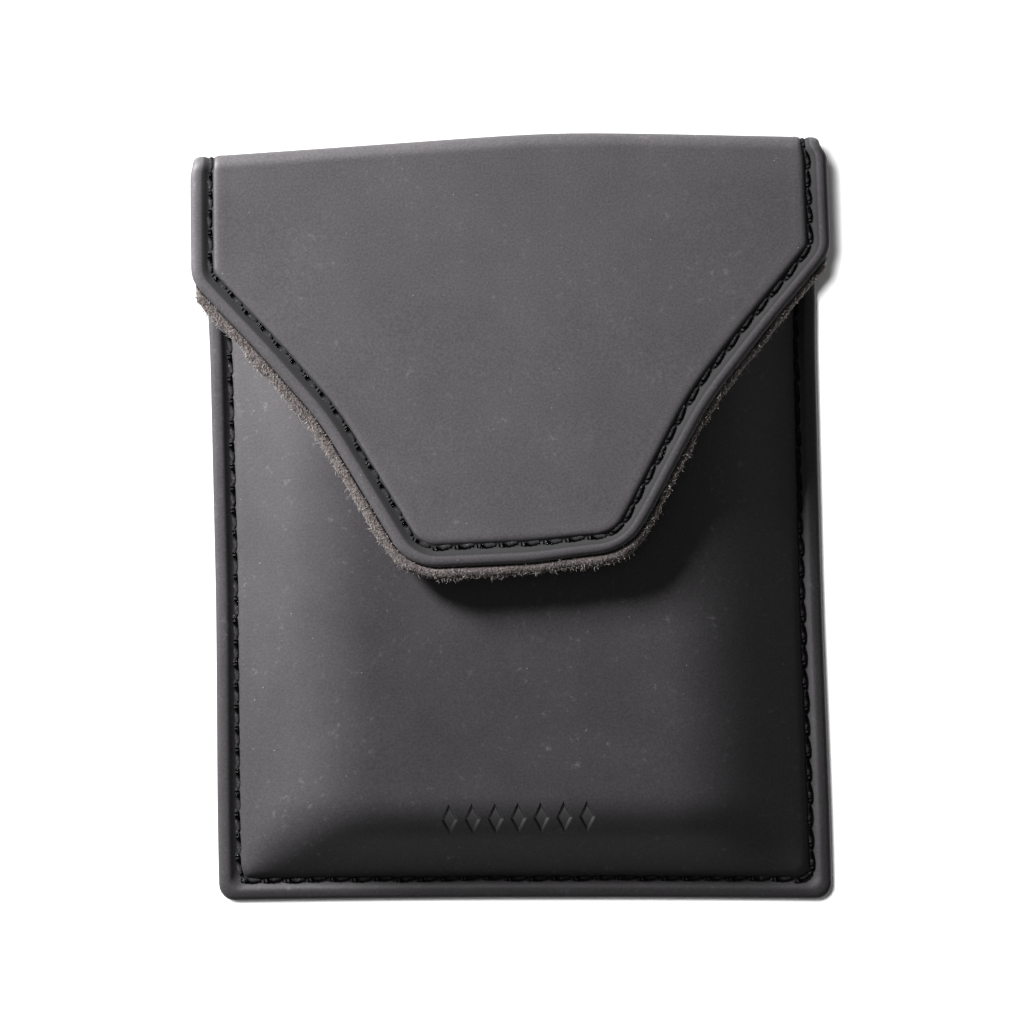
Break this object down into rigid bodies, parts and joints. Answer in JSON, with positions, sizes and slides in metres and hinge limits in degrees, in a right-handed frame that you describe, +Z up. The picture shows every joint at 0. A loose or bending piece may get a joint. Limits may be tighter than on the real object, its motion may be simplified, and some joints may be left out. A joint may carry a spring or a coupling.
{
  "type": "flat leather flap case",
  "caption": "Flat black leather pouch with a fold-over flap that hinges on two soft creases along the top.",
  "frame": {"origin": "centre of the bounding box in plan, on the underside of the back panel, with the case lying on its back and the flap closed", "axes": "+X across the case to the viewer's right, +Y towards the top fold, +Z up through the layers towards the viewer"},
  "size_m": [0.091, 0.11, 0.012],
  "materials": {
    "outer_leather": "smooth black calf leather with a soft satin finish",
    "suede_lining": "raw grey-brown suede",
    "stiffener_board": "bonded leather board",
    "sewing_thread": "waxed twisted black thread",
    "plated_magnet": "nickel plated"
  },
  "bodies": {
    "case": {"back_panel": "outer_leather", "back_board": "stiffener_board", "back_lining": "suede_lining", "front_panel": "outer_leather", "front_board": "stiffener_board", "front_lining": "suede_lining", "body_magnet": "plated_magnet", "body_needle_thread": "sewing_thread", "body_bobbin_thread": "sewing_thread", "neck_thread_left": "sewing_thread", "neck_thread_right": "sewing_thread", "mouth_needle_thread": "sewing_thread", "mouth_bobbin_thread": "sewing_thread"},
    "spine": {"spine_leather": "outer_leather", "spine_lining": "suede_lining", "spine_thread_left": "sewing_thread", "spine_thread_right": "sewing_thread", "spine_lining_thread_left": "sewing_thread", "spine_lining_thread_right": "sewing_thread"},
    "flap": {"flap_panel": "outer_leather", "flap_board": "stiffener_board", "flap_lining": "suede_lining", "flap_magnet": "plated_magnet", "flap_needle_thread": "sewing_thread", "flap_bobbin_thread": "sewing_thread"}
  },
  "joints": [
    {"name": "spine_fold", "type": "hinge", "parent": "case", "child": "spine", "pos_m": [0, 0.0541, 0.0009], "axis": [-1, 0, 0], "range_deg": [0, 90]},
    {"name": "flap_fold", "type": "hinge", "parent": "spine", "child": "flap", "pos_m": [0, 0.0541, 0.0111], "axis": [-1, 0, 0], "range_deg": [0, 90]}
  ],
  "couplings": [
    {"joint": "spine_fold", "follows": "flap_fold", "ratio": 1}
  ]
}
